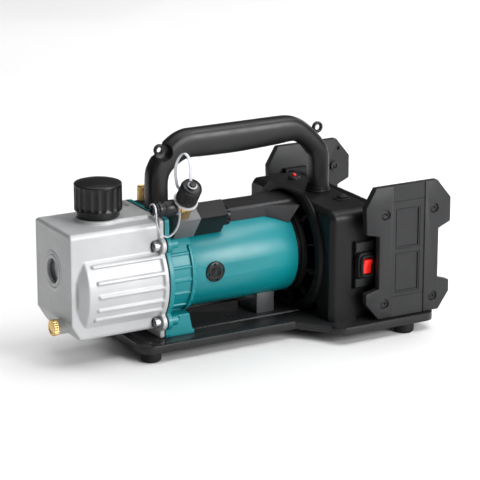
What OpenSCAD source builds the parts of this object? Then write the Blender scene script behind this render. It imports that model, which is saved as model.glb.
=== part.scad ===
// Portable two-stage vacuum pump for refrigeration service, with an oil tank, a brushless motor,
// a solenoid check valve with two flare ports, a carrying handle and a guarded battery bay.
// X runs from the oil tank to the battery bay, Z is up, and the origin is under the middle of the pump.

/* [Overall] */
// Length from the drain plug to the rear edge of the guards
overall_l = 401; // [395:1:410]
// Height of the pump and motor axis above the ground
axis_z = 78; // [77:0.5:79]
// Distance between the outer faces of the two guards
guard_span = 199.2; // [196:0.2:206]

/* [Base] */
// Height of the rubber feet
foot_h = 10; // [8:0.5:12]
// Radius of the rubber feet
foot_r = 10; // [9:0.5:12]
// Thickness of the base plate
plate_t = 8; // [6:0.5:8]
// Half width of the plate under the tank
plate_narrow = 60.2; // [56:0.2:64]
// Half width of the plate under the battery bay
plate_wide = 103; // [101:0.5:106]

/* [Tank] */
// Width of the cast oil tank
tank_w = 79.2; // [78:0.2:80]
// Height of the tank's top face
tank_top = 134.5; // [133:0.5:136]
// Height of the tank's underside
tank_bottom = 28; // [26:0.5:30]
// Length of the tank, from its front face to its joint face
tank_l = 98; // [98:1:100]
// Radius of the round bulge in the tank's sides
bulge_r = 51.5; // [50:0.5:52]
// Radius of the sight glass
sight_r = 15.9; // [14:0.1:16]

/* [Filler cap] */
// Radius of the fluted filler cap
cap_r = 23.3; // [22:0.1:24]
// Number of flutes around the filler cap
cap_flutes = 22; // [16:1:28]

/* [Motor] */
// Outer radius of the motor tube
motor_r = 43.6; // [43:0.2:44]
// Wall of the motor tube
motor_wall = 3; // [2:0.5:3]
// Number of slots in the stator
stator_slots = 12; // [6:3:12]
// Number of blades on the cooling fan
fan_blades = 11; // [7:1:13]

/* [Valve] */
// Lean of the valve group towards the near side, in degrees
valve_tilt = 37; // [35:1:39]

/* [Handle] */
// Height of the top of the grip
handle_top = 213; // [208:1:218]
// Depth of the handle, across the pump
handle_depth = 21; // [20:1:25]

/* [Hidden] */
$fn = 96;

// Clearances: a close fit, a push fit between two fixed pieces, and the gap left around moving ones
fit = 0.05;
gap = 0.3;
// Overshoot of a cut past the face it opens
eps = 1;

drain_reach = 11;
front_x = drain_reach - overall_l / 2;
// X of a point that lies d behind the tank's front face
function back(d) = front_x + d;

plate_top = foot_h + plate_t;
guard_y = guard_span / 2;
guard_t = 8;

// Stations along the pump, behind the tank's front face
flange_t = 5;
gasket_t = 0.8;
housing_front = tank_l + gasket_t;
housing_plate_t = 5;
housing_rear = 131;
motor_rear = 247;
shroud_front = 251;
rear_front = 262;
rear_back = 317;
panel_t = 3;
intake_r = 57;
hood_r = 60.5;

bulge_z = axis_z - 4;
flange_top = plate_top + 120;
bolt_y = 41;
bolt_heights = [35, 112];
bolt_r = 3;

sight_z = 90.6;
drain_y = -16;
drain_z = 39;
filler_d = 48.9;
filler_bore_r = 17;

barrel_r = 46;
shaft_r = 5;
pump_shaft_r = 6;
bearing_r = 11;
stage_r = 33;
stage_bore_r = 22;
stage_offset = 3;
drum_r = stage_bore_r - stage_offset - gap;
vane_t = 3;

valve_y = -31.3;
valve_z = 128.1;
valve_w = 20;
valve_h = 27.5;
block_v = 1.4;
block_u = 1.1;
block_front = 113.3;
coil_front = 136;
coil_rear = 166.5;
tube_r = 5;
manifold_u = 27;
manifold_v = 1;
large_port_d = 116;
large_port_r = 7.9;
small_port_r = 5.5;

feet = [[80.2, 46.9], [80.2, -46.9], [342.1, 92], [342.1, -92]];
guard_screws = [[313.8, 126], [370.5, 126], [313.6, 34.5], [370.7, 34.5]];
housing_half = 82;
housing_waist = 78.4;
waist_d = 291;
housing_top = 131;
frame_inner = 84;
switch_d = 301;
switch_z = 73;
window_w = 10.8;
window_h = 17.6;
boot_w = 20.6;
boot_h = 27;
button_y = -40;
handle_left = [100.9, 122.4];
handle_right = [284.9, 305.5];

// ---- shapes that repeat ----

module rod_x(r, d0, d1, y = 0, z = 0) {
    translate([back(d0), y, z]) rotate([0, 90, 0]) cylinder(r = r, h = d1 - d0);
}

module cone_x(r0, r1, d0, d1, y = 0, z = 0) {
    translate([back(d0), y, z]) rotate([0, 90, 0]) cylinder(r1 = r0, r2 = r1, h = d1 - d0);
}

module ring_x(r_out, r_in, d0, d1, y = 0, z = 0) {
    difference() {
        rod_x(r_out, d0, d1, y, z);
        rod_x(r_in, d0 - eps, d1 + eps, y, z);
    }
}

module rod_y(r, d, z, y0, y1) {
    translate([back(d), y1, z]) rotate([90, 0, 0]) cylinder(r = r, h = y1 - y0);
}

module block(d, y, z) {
    translate([back(d[0]), y[0], z[0]]) cube([d[1] - d[0], y[1] - y[0], z[1] - z[0]]);
}

// A side outline of [d, z] points, extruded across the pump
module slab_y(points, y0, y1) {
    translate([0, y1, 0]) rotate([90, 0, 0]) linear_extrude(y1 - y0)
        polygon([for (p = points) [back(p[0]), p[1]]]);
}

// A front outline, drawn as [y, z], extruded along the pump
module along_x(d0, d1) {
    translate([back(d0), 0, 0]) rotate([90, 0, 90]) linear_extrude(d1 - d0) children();
}

module rounded_rect(x, y, r) {
    translate([x[0] + r, y[0]]) square([x[1] - x[0] - 2 * r, y[1] - y[0]]);
    translate([x[0], y[0] + r]) square([x[1] - x[0], y[1] - y[0] - 2 * r]);
    for (cx = [x[0] + r, x[1] - r], cy = [y[0] + r, y[1] - r])
        translate([cx, cy]) circle(r);
}

// The frame of the leaning valve group: X along the pump, Y across the block and Z up the large port
module leaning(d = 0, v = 0, u = 0) {
    translate([back(d), valve_y, valve_z]) rotate([valve_tilt, 0, 0]) translate([0, v, u]) children();
}

// A thin strap along a list of [d, y, z] points
module strap(points, r) {
    for (i = [1 : len(points) - 1]) hull() {
        for (p = [points[i - 1], points[i]])
            translate([back(p[0]), p[1], p[2]]) sphere(r, $fn = 10);
    }
}

// ---- base ----

module plate_outline() {
    wide_front = 270.8;
    narrow_end = 234.3;
    corner = 12;
    rounded_rect([back(67.1), back(wide_front)], [-plate_narrow, plate_narrow], corner);
    rounded_rect([back(wide_front - corner), back(374)], [-plate_wide, plate_wide], corner);
    polygon([
        [back(narrow_end - 10), -plate_narrow], [back(narrow_end), -plate_narrow],
        [back(wide_front), -plate_wide], [back(wide_front + corner), -plate_wide],
        [back(wide_front + corner), plate_wide], [back(wide_front), plate_wide],
        [back(narrow_end), plate_narrow], [back(narrow_end - 10), plate_narrow]
    ]);
}

module base_plate() {
    groove_w = 5;
    groove_depth = 1.2;
    color("#1d1e20") difference() {
        translate([0, 0, foot_h]) linear_extrude(plate_t) plate_outline();
        for (y = [-31, 31])
            block([133, 260], [y - groove_w / 2, y + groove_w / 2], [plate_top - groove_depth, plate_top + eps]);
        for (p = feet)
            translate([back(p[0]), p[1], 0]) cylinder(r = 2.6, h = plate_top + eps);
    }
}

module rubber_feet() {
    chamfer = 1.5;
    color("#161616") for (p = feet) translate([back(p[0]), p[1], 0]) rotate_extrude() polygon([
        [5, 0], [foot_r - chamfer, 0], [foot_r, chamfer], [foot_r, foot_h], [2.6, foot_h], [2.6, 5], [5, 5]
    ]);
}

module foot_screws() {
    color("#b9bcc0") for (p = feet) translate([back(p[0]), p[1], 0]) {
        translate([0, 0, 1.4]) cylinder(r = 4.6, h = 3.6);
        translate([0, 0, 4.9]) cylinder(r = 2.5, h = plate_top - 0.5 - 4.9);
    }
}

// ---- oil tank ----

// The tank's outside, drawn in by a wall; the rear end stays at the joint face
module tank_shape(wall) {
    chamfer_d = 10;
    chamfer_z = 17;
    corner = 5;
    half = tank_w / 2 - wall;
    top = tank_top - wall;
    bottom = tank_bottom + wall;
    intersection() {
        slab_y([
            [wall, tank_bottom + chamfer_z + wall / 3], [chamfer_d + wall / 3, bottom], [tank_l, bottom],
            [tank_l, top], [wall + 2, top], [wall, top - 2]
        ], -half, half);
        along_x(wall, tank_l) rounded_rect([-half, half], [bottom, top], corner);
    }
    intersection() {
        union() {
            cone_x(bulge_r - 8.5 - wall, bulge_r - wall, 6 + wall, 14 + wall, 0, bulge_z);
            rod_x(bulge_r - wall, 14 + wall, tank_l, 0, bulge_z);
        }
        block([0, tank_l], [-bulge_r, bulge_r], [bottom, top]);
    }
}

module flange_outline() {
    half = 42;
    difference() {
        union() {
            rounded_rect([-half, half], [plate_top, flange_top], 3);
            translate([0, bulge_z]) circle(bulge_r + 2.2);
            for (side = [-1, 1], z = bolt_heights)
                translate([side * bolt_y, z]) circle(8);
        }
        translate([-bulge_r * 2, 0]) square([bulge_r * 4, plate_top]);
    }
}

module bolt_holes(r, d0, d1) {
    for (side = [-1, 1], z = bolt_heights) rod_x(r, d0, d1, side * bolt_y, z);
}

module oil_tank() {
    wall = 4;
    rib_t = 3;
    rib_proud = 2;
    rib_heights = [102.4, 87.3, 73.4, 59.7, 49.2];
    rib_starts = [20, 23, 24, 23, 21];
    ridge_top = tank_top + 3.5;
    color("#c8cacc") difference() {
        union() {
            tank_shape(0);
            for (i = [0 : len(rib_heights) - 1]) intersection() {
                rod_x(bulge_r + rib_proud, rib_starts[i], tank_l - 1, 0, bulge_z);
                block([0, tank_l], [-60, 60], [rib_heights[i] - rib_t / 2, rib_heights[i] + rib_t / 2]);
            }
            along_x(tank_l - flange_t, tank_l) flange_outline();
            along_x(filler_d, tank_l - 4) polygon([
                [-22, tank_top - 1], [22, tank_top - 1], [22, tank_top], [18.5, ridge_top],
                [-18.5, ridge_top], [-22, tank_top]
            ]);
            translate([back(filler_d), 0, tank_top - 1]) cylinder(r1 = 24, r2 = 21.5, h = ridge_top + 1 - tank_top);
            rod_x(7.6, -5, 14, drain_y, drain_z);
            rod_x(sight_r + 3.4, -0.8, 9, 0, sight_z);
        }
        tank_shape_cut(wall);
        rod_x(sight_r + fit, -eps - 1, 6.8, 0, sight_z);
        rod_x(12, 6, 12, 0, sight_z);
        rod_x(5 + fit, -6, 20, drain_y, drain_z);
        translate([back(filler_d), 0, tank_top - 10]) cylinder(r = filler_bore_r, h = 20);
        bolt_holes(bolt_r + gap, tank_l - flange_t - 8, tank_l + eps);
        bolt_holes(5.6, 85.5, tank_l - flange_t);
    }
}

// The hollow inside the tank, open at the joint face and clear of the bosses behind the sight glass and the drain
module tank_shape_cut(wall) {
    difference() {
        union() {
            tank_shape(wall);
            translate([eps, 0, 0]) intersection() {
                tank_shape(wall);
                block([tank_l - 6, tank_l], [-60, 60], [0, 200]);
            }
        }
        rod_x(sight_r + 3.4, 0, 9, 0, sight_z);
        rod_x(7.6, 0, 14, drain_y, drain_z);
    }
}

module tank_gasket() {
    color("#303234") difference() {
        along_x(tank_l, tank_l + gasket_t) flange_outline();
        block([tank_l - eps, tank_l + 2], [-35, 35], [34, 128]);
        bolt_holes(bolt_r + gap, tank_l - eps, tank_l + 2);
    }
}

module flange_bolts() {
    head_h = 6;
    head_d = tank_l - flange_t - head_h;
    color("#d4d6d8") difference() {
        union() {
            bolt_holes(5, head_d, head_d + head_h);
            bolt_holes(bolt_r, head_d, 112);
        }
        for (side = [-1, 1], z = bolt_heights)
            translate([back(head_d - eps), side * bolt_y, z]) rotate([0, 90, 0])
                cylinder(r = 2.9, h = 3.5 + eps, $fn = 6);
    }
}

module sight_glass() {
    color("#9fb4bd") rod_x(sight_r, 3.1, 5.5, 0, sight_z);
}

module sight_glass_ring() {
    color("#b4b6b8") ring_x(sight_r, 12.4, -0.9, 3.1, 0, sight_z);
}

module drain_plug() {
    grip_r = 8;
    color("#c79a52") difference() {
        union() {
            rod_x(grip_r, -drain_reach, -5 - gap, drain_y, drain_z);
            rod_x(5, -6, 12, drain_y, drain_z);
        }
        for (a = [0 : 15 : 345])
            translate([back(-drain_reach - eps), drain_y + grip_r * sin(a), drain_z + grip_r * cos(a)])
                rotate([0, 90, 0]) cylinder(r = 0.45, h = 8, $fn = 16);
    }
}

module o_ring(r_mid, r_wire) {
    rotate_extrude() translate([r_mid, 0]) circle(r_wire, $fn = 24);
}

// Seals of the sight glass, the filler cap and the pump shaft
module seal_rings() {
    color("#1a1a1a") {
        ring_x(12, pump_shaft_r + fit, 104, 108, 0, axis_z);
        translate([back(6.15), 0, sight_z]) rotate([0, 90, 0]) o_ring(14.2, 0.6);
        translate([back(filler_d), 0, tank_top + 4.15]) o_ring(18.8, 0.6);
    }
}

module filler_cap() {
    skirt_z = 145;
    shoulder_z = 171.5;
    top_z = 175.2;
    flute_r = 1.7;
    dome_r = (pow(cap_r - 0.8, 2) + pow(top_z - shoulder_z, 2)) / (2 * (top_z - shoulder_z));
    color("#2b2c2e") translate([back(filler_d), 0, 0]) {
        difference() {
            translate([0, 0, skirt_z]) cylinder(r = cap_r, h = shoulder_z - skirt_z);
            for (a = [0 : 360 / cap_flutes : 359])
                rotate(a) translate([cap_r + 0.6, 0, skirt_z - eps]) cylinder(r = flute_r, h = shoulder_z - skirt_z - 1);
        }
        intersection() {
            translate([0, 0, top_z - dome_r]) sphere(dome_r);
            translate([0, 0, shoulder_z - eps]) cylinder(r = cap_r - 0.8, h = 20);
        }
        translate([0, 0, tank_top + 4.8]) cylinder(r = 20.6, h = skirt_z + eps - tank_top - 4.8);
        translate([0, 0, tank_top - 8]) cylinder(r = filler_bore_r - fit, h = 14);
    }
}

// ---- pump ----

module pump_housing() {
    plate_rear = housing_front + housing_plate_t;
    ridge_w = 2.2;
    ridge_r = barrel_r + 1.5;
    ridge_angles = [29, 12.7, -3.3, -21, -42];
    band_r = barrel_r + 2.4;
    band_d = [125.8, 128.4];
    tab_r = barrel_r + 1.2;
    boss_r = 4.6;
    foot_half = 41;
    color("#0f8a90") difference() {
        union() {
            along_x(housing_front, plate_rear) flange_outline();
            rod_x(barrel_r, housing_front, housing_rear, 0, axis_z);
            for (side = [0, 180], a = ridge_angles)
                translate([0, 0, axis_z]) rotate([side == 0 ? -a : 180 + a, 0, 0])
                    block([plate_rear - eps, 124.5], [-ridge_r, -barrel_r + 2], [-ridge_w / 2, ridge_w / 2]);
            intersection() {
                ring_x(band_r, barrel_r - 2, band_d[0], band_d[1], 0, axis_z);
                block([120, 140], [-60, 60], [plate_top, 107]);
            }
            for (side = [0, 180], a = [-48 : 12 : 24])
                translate([0, 0, axis_z]) rotate([side == 0 ? -a : 180 + a, 0, 0])
                    block([band_d[1] - eps, housing_rear], [-tab_r, -barrel_r + 2], [-3.2, 3.2]);
            bolt_holes(boss_r, plate_rear - eps, 112);
            slab_y([
                [housing_front, plate_top], [housing_rear, plate_top], [housing_rear, plate_top + 4],
                [129, plate_top + 4], [125.5, 39], [housing_front, 39]
            ], -foot_half, foot_half);
        }
        rod_x(pump_shaft_r + fit, housing_front - eps, 110, 0, axis_z);
        rod_x(12 + fit, 104, 110, 0, axis_z);
        rod_x(30, 108, 122, 0, axis_z);
        rod_x(bearing_r + fit, 121, housing_rear + eps, 0, axis_z);
        bolt_holes(bolt_r + fit, housing_front - eps, 114);
    }
}

module stage(d0, d1) {
    difference() {
        rod_x(stage_r, d0, d1, 0, axis_z);
        rod_x(stage_bore_r, d0 - eps, d1 + eps, 0, axis_z + stage_offset);
        block([d0 - eps, d1 + eps], [-20, 20], [axis_z + stage_r - 2, axis_z + stage_r + 5]);
    }
}

module high_stage_stator() {
    color("#8f9396") stage(66, housing_front);
}

module low_stage_stator() {
    color("#8a8e91") stage(50, 63);
}

// The rear cover of the low stage and the wall between the stages, each with a shaft bush
module pump_end_cover() {
    color("#9da0a3") for (d = [[43, 50], [63, 66]]) difference() {
        rod_x(stage_r, d[0], d[1], 0, axis_z);
        rod_x(pump_shaft_r + fit, d[0] - eps, d[1] + eps, 0, axis_z);
    }
}

module pump_shaft() {
    color("#c3c6c9") rod_x(pump_shaft_r, 40, 117.5, 0, axis_z);
}

module stage_rotors() {
    color("#7d8184") for (d = [[50 + gap, 63 - gap], [66 + gap, housing_front - gap]]) difference() {
        rod_x(drum_r, d[0], d[1], 0, axis_z);
        rod_x(pump_shaft_r + fit, d[0] - eps, d[1] + eps, 0, axis_z);
        for (side = [-1, 1])
            block([d[0] - eps, d[1] + eps], [-vane_t / 2 - fit, vane_t / 2 + fit],
                [axis_z + side * 14 - 6, axis_z + side * 14 + 6]);
    }
}

module pump_vanes() {
    color("#5a4632") for (d = [[50 + gap, 63 - gap], [66 + gap, housing_front - gap]], side = [-1, 1])
        intersection() {
            rod_x(drum_r, d[0], d[1], 0, axis_z);
            block(d, [-vane_t / 2, vane_t / 2], [axis_z + side * 14 - 5.9, axis_z + side * 14 + 5.9]);
        }
}

module exhaust_valve() {
    seat_z = axis_z + stage_r - 2;
    color("#b8bbbe") for (d = [[70, 90], [52, 61]]) {
        block(d, [-8, 8], [seat_z, seat_z + 0.5]);
        block(d, [-7, 7], [seat_z + 0.5, seat_z + 2]);
    }
}

module shaft_coupling() {
    color("#a9adb0") difference() {
        rod_x(14, 110, 120.8, 0, axis_z);
        rod_x(pump_shaft_r + fit, 109, 117.6, 0, axis_z);
        rod_x(shaft_r + fit, 117, 122, 0, axis_z);
        block([114, 115.2], [-20, 20], [axis_z + 7, axis_z + 20]);
    }
}

// ---- motor ----

module motor_tube() {
    color("#12949a") difference() {
        ring_x(motor_r, motor_r - motor_wall, housing_rear, motor_rear, 0, axis_z);
        for (side = [-1, 1]) rod_y(6 + fit, 152.9, axis_z, side * 44 - 8, side * 44 + 8);
    }
}

module slot_blocks(w, r0, r1, d0, d1) {
    for (a = [0 : 360 / stator_slots : 359])
        translate([0, 0, axis_z]) rotate([a, 0, 0]) block([d0, d1], [-w / 2, w / 2], [r0, r1]);
}

module motor_stator() {
    color("#6d7073") difference() {
        ring_x(motor_r - motor_wall - fit, 22.5, 150, 215, 0, axis_z);
        slot_blocks(9, 25.2, 34, 149, 216);
    }
}

module motor_windings() {
    color("#b5651d") {
        slot_blocks(8.6, 25.5, 33.8, 149, 216);
        for (d = [[141, 150], [215, 224]]) ring_x(35, 24.5, d[0], d[1], 0, axis_z);
    }
}

module motor_shaft() {
    color("#c3c6c9") rod_x(shaft_r, 117.7, 270, 0, axis_z);
}

module rotor_core() {
    color("#74777a") ring_x(19.5, shaft_r + fit, 148, 217, 0, axis_z);
}

module rotor_magnets() {
    color("#45474a") difference() {
        ring_x(22, 19.55, 150, 215, 0, axis_z);
        for (a = [0 : 45 : 135])
            translate([0, 0, axis_z]) rotate([a, 0, 0]) block([149, 216], [-0.5, 0.5], [-25, 25]);
    }
}

module motor_bearings() {
    color("#b5b8bb") for (d = [[122, housing_rear], [motor_rear, 256]])
        ring_x(bearing_r, shaft_r + fit, d[0], d[1], 0, axis_z);
}

module motor_end_cap() {
    color("#242527") difference() {
        union() {
            ring_x(motor_r, 37, motor_rear, 256, 0, axis_z);
            rod_x(16, motor_rear, 256, 0, axis_z);
            for (a = [30 : 60 : 330])
                translate([0, 0, axis_z]) rotate([a, 0, 0]) block([motor_rear, 253], [-3, 3], [14, 39]);
        }
        rod_x(bearing_r + fit, motor_rear - eps, 257, 0, axis_z);
    }
}

module cooling_fan() {
    color("#1f2022") difference() {
        union() {
            rod_x(13, 257.5, 269, 0, axis_z);
            rod_x(46, 267, 269, 0, axis_z);
            for (a = [0 : 360 / fan_blades : 359])
                translate([0, 0, axis_z]) rotate([a, 0, 0]) block([258, 267.5], [-1, 1], [11, 46]);
        }
        rod_x(shaft_r + fit, 256, 271, 0, axis_z);
    }
}

module motor_cradle() {
    color("#55585b") difference() {
        block([213, 233], [-20, 20], [plate_top, 42]);
        rod_x(motor_r + fit, 210, 236, 0, axis_z);
    }
}

module vent_caps() {
    vent_d = 152.9;
    vent_r = 10.3;
    face_y = motor_r + 2;
    window = 2.2;
    color("#1c1d1f") for (side = [0, 1]) mirror([0, side, 0]) difference() {
        union() {
            difference() {
                rod_y(vent_r, vent_d, axis_z, -face_y, -face_y + 5);
                rod_x(motor_r + fit, 140, 166, 0, axis_z);
            }
            rod_y(6, vent_d, axis_z, -motor_r - 0.7, -motor_r + 2.7);
        }
        for (a = [80 : 90 : 350])
            translate([back(vent_d), -face_y - eps, axis_z]) rotate([0, a, 0])
                translate([7.9, 0, 0]) block_centred(window, eps + 1.2);
        for (r = [2.2, 4.6])
            translate([back(vent_d), -face_y + 0.8, axis_z]) rotate([90, 0, 0]) washer(r, r - 0.9, eps + 0.8);
    }
}

// A square post of the given width that stands on the XZ plane and points along +Y
module block_centred(w, h) {
    translate([-w / 2, 0, -w / 2]) cube([w, h, w]);
}

// ---- valve group ----

module valve_block() {
    passage_d = block_front + 5;
    color("#77797c") difference() {
        union() {
            leaning(block_front, block_v - valve_w / 2, block_u - valve_h / 2)
                cube([coil_front - block_front, valve_w, valve_h]);
            leaning(coil_front - eps, block_v, block_u) rotate([0, 90, 0])
                cylinder(r = tube_r, h = coil_rear + 5 - coil_front);
        }
        leaning(127, block_v, block_u) rotate([0, 90, 0]) cylinder(r = tube_r - 1, h = coil_rear + 2 - 127);
        leaning(passage_d, block_v, block_u) cylinder(r = 3, h = valve_h);
        leaning(passage_d, block_v, block_u) rotate([0, 90, 0]) cylinder(r = 2.5, h = 12);
    }
}

module solenoid_coil() {
    color("#1a1b1d") leaning(coil_front, block_v, block_u) difference() {
        translate([0, -valve_w / 2, -valve_h / 2]) cube([coil_rear - coil_front, valve_w, valve_h]);
        translate([-eps, 0, 0]) rotate([0, 90, 0]) cylinder(r = tube_r + fit, h = 40);
    }
}

module solenoid_nut() {
    nut_r = 10;
    color("#222325") leaning(coil_rear, block_v, block_u) rotate([0, 90, 0]) difference() {
        cylinder(r = nut_r, h = 6);
        translate([0, 0, -eps]) cylinder(r = tube_r + fit, h = 6.01);
        for (a = [0 : 30 : 330])
            rotate(a) translate([nut_r, 0, 2]) cylinder(r = 1.2, h = 6, $fn = 24);
    }
}

module valve_plunger() {
    rest_d = 138.5;
    color("#a8acb0") leaning(rest_d, block_v, block_u) rotate([0, 90, 0])
        cylinder(r = tube_r - 1 - fit, h = 22);
}

module brass_manifold() {
    foot_u = block_u + valve_h / 2;
    color("#c99f58") difference() {
        union() {
            leaning(111.5, manifold_v, manifold_u) rotate([0, 90, 0]) cylinder(r = 7.2, h = 12.5);
            leaning(92, manifold_v, manifold_u) rotate([0, 90, 0]) cylinder(r = small_port_r, h = 20);
            leaning(block_front, block_v - 7, foot_u) cube([10, 14, manifold_u - foot_u]);
            leaning(large_port_d, 0, manifold_u) cylinder(r = 6, h = 23);
            leaning(large_port_d, 0, manifold_u + 8) cylinder(r = large_port_r, h = 15);
        }
        leaning(91, manifold_v, manifold_u) rotate([0, 90, 0]) cylinder(r = 2.4, h = 29);
        leaning(large_port_d, 0, manifold_u) cylinder(r = 4.4, h = 25);
        leaning(block_front + 5, block_v, 10) cylinder(r = 3, h = manifold_u - 10);
    }
}

module large_port_cap() {
    port_cap_r = 10.6;
    skirt_u = 37.8;
    cap_h = 20.5;
    flutes = 30;
    color("#1b1c1e") leaning(large_port_d, 0, skirt_u) difference() {
        union() {
            cylinder(r = port_cap_r, h = cap_h - 3);
            translate([0, 0, cap_h - 3]) cylinder(r1 = port_cap_r - 0.3, r2 = port_cap_r - 2, h = 3);
            cylinder(r = 2.4, h = cap_h + 3);
            translate([0, 0, cap_h + 1.6]) cylinder(r = 3.6, h = 1.8);
        }
        translate([0, 0, -eps]) cylinder(r = large_port_r + fit, h = 14.5);
        for (a = [0 : 360 / flutes : 359])
            rotate(a) translate([port_cap_r + 0.4, 0, 2]) cylinder(r = 0.8, h = cap_h - 6, $fn = 16);
    }
}

module small_port_cap() {
    front_d = 88.4;
    rear_d = 106.6;
    cap_outer = 7.8;
    color("#2a2b2d") difference() {
        leaning(front_d, manifold_v, manifold_u) rotate([0, 90, 0]) union() {
            cylinder(r = cap_outer, h = rear_d - front_d);
            translate([0, 0, -6.4]) cylinder(r = 4.8, h = 7);
            translate([0, 0, -2.4]) cylinder(r = 6.6, h = 2.5);
        }
        leaning(91.5, manifold_v, manifold_u) rotate([0, 90, 0]) cylinder(r = small_port_r + fit, h = 20);
        leaning(front_d + 4.6, manifold_v, manifold_u) rotate([0, 90, 0]) ring_groove(cap_outer, 0.5, 1);
        leaning(80, manifold_v, manifold_u) rotate([0, 90, 0]) cylinder(r = 2.2, h = 4);
    }
}

// A shallow groove around a cylinder that stands on the XY plane
module ring_groove(r, depth, h) {
    difference() {
        cylinder(r = r + eps, h = h);
        translate([0, 0, -eps]) cylinder(r = r - depth, h = h + 2 * eps);
    }
}

module washer(r_out, r_in, h) {
    difference() {
        cylinder(r = r_out, h = h);
        translate([0, 0, -eps]) cylinder(r = r_in, h = h + 2 * eps);
    }
}

large_tether_route = [
    [116, -43.1, 164.7], [112, -43.8, 170], [109, -46, 181], [107.5, -50, 192], [109.3, -54, 201],
    [112, -58, 205], [114.5, -61.5, 202], [115.8, -63.3, 194], [116, -63.6, 186], [116, -63.2, 178.9]
];
small_tether_route = [
    [108.6, -53.6, 149], [108, -55, 141], [105, -56, 133], [100, -56, 127], [93.5, -56, 125],
    [87.5, -56, 129], [83.6, -56, 137], [83, -55, 144], [84, -53.6, 149]
];

module large_cap_tether() {
    color("#d9dbde") {
        strap(large_tether_route, 1.1);
        leaning(large_port_d, 0, 35.6) washer(12, large_port_r + gap, 1.6);
        leaning(large_port_d, 0, 58.9) washer(6.2, 2.8, 0.8);
    }
}

module small_cap_tether() {
    color("#d9dbde") {
        strap(small_tether_route, 1);
        leaning(107.6, manifold_v, manifold_u) rotate([0, 90, 0]) washer(7.6, small_port_r + gap, 1.8);
        leaning(83.2, manifold_v, manifold_u) rotate([0, 90, 0]) washer(6.6, 5.1, 1.8);
    }
}

// ---- gas ballast ----

ballast_y = 28;
ballast_d = 111;

module gas_ballast_body() {
    color("#1f4a45") difference() {
        block([104.3, 118.3], [21, 33.3], [112, flange_top]);
        rod_x(barrel_r + fit, 100, 122, 0, axis_z);
        translate([back(ballast_d), ballast_y, flange_top - 8]) cylinder(r = 3 + fit, h = 10);
    }
}

module gas_ballast_knob() {
    knob_r = 5.5;
    color("#a97f42") translate([back(ballast_d), ballast_y, 0]) difference() {
        union() {
            translate([0, 0, flange_top + gap]) cylinder(r = knob_r, h = 15);
            translate([0, 0, flange_top - 7]) cylinder(r = 3, h = 8);
        }
        for (a = [0 : 20 : 340])
            rotate(a) translate([knob_r + 0.2, 0, flange_top + 2]) cylinder(r = 0.5, h = 20, $fn = 16);
    }
}

// ---- duct, rear housing and battery bay ----

module duct_profile(half, inset) {
    low = 112;
    polygon([
        [-half + inset, low], [half - inset, low], [half - inset, 129 - inset], [half - 2.5 - inset, 131 - inset],
        [-half + 2.5 + inset, 131 - inset], [-half + inset, 129 - inset]
    ]);
}

// The duct flares out over the motor's end, where its slanted end faces the intake, and its crown runs on inside
module duct_cover() {
    wall = 2.5;
    flare_rear = 254;
    color("#4b4d50") difference() {
        union() {
            along_x(housing_rear + 0.4, 180) duct_profile(14, 0);
            along_x(179, rear_front) duct_profile(18, 0);
            intersection() {
                translate([0, 0, 100]) linear_extrude(29) polygon([
                    [back(222), -18], [back(flare_rear), -34], [back(flare_rear), 34], [back(222), 18]
                ]);
                translate([0, 40, 0]) rotate([90, 0, 0]) linear_extrude(80) polygon([
                    [back(220), 100], [back(238), 100], [back(246), 114.3], [back(flare_rear), 129.1], [back(220), 129.1]
                ]);
            }
        }
        rod_x(motor_r + fit, 120, 260, 0, axis_z);
        rod_x(46.6, shroud_front - gap, rear_front + eps, 0, axis_z);
        along_x(housing_rear + 3, 182) duct_profile(14, wall);
        along_x(182, rear_front + eps) duct_profile(18, wall);
    }
}

// A rounded ring in front of the fan, held to a hub ring around the motor end by thin radial spokes
module intake_shroud() {
    hub_rear = 256.5;
    spoke_front = 254.4;
    ring_front = 257.5;
    ring_in = intake_r;
    ring_out = 69;
    ring_top = axis_z + hood_r;
    round = 2.4;
    color("#1c1d1f") {
        intersection() {
            translate([back(ring_front), 0, axis_z]) rotate([0, 90, 0]) rotate_extrude() polygon([
                [ring_in + 0.7 * round, 0], [ring_out - round, 0], [ring_out, round], [ring_out, rear_front - ring_front],
                [ring_in, rear_front - ring_front], [ring_in, 0.7 * round]
            ]);
            block([shroud_front, rear_front], [-ring_out, ring_out], [plate_top + gap, ring_top]);
        }
        ring_x(45.6, motor_r + 0.3, shroud_front, hub_rear, 0, axis_z);
        for (a = [45 : 30 : 315]) translate([0, 0, axis_z]) rotate([a, 0, 0]) {
            block([spoke_front, hub_rear], [-0.6, 0.6], [45, ring_in + 1]);
            block([spoke_front, ring_front + 2], [-0.6, 0.6], [47.5, ring_in + 1]);
        }
    }
}

module housing_outline(inset) {
    half = housing_half - inset;
    top = housing_top - inset;
    low = plate_top + inset;
    corner = 10;
    rounded_rect([-half, half], [low, top], corner);
    translate([-half, low]) square([2 * half, 30]);
}

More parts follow.
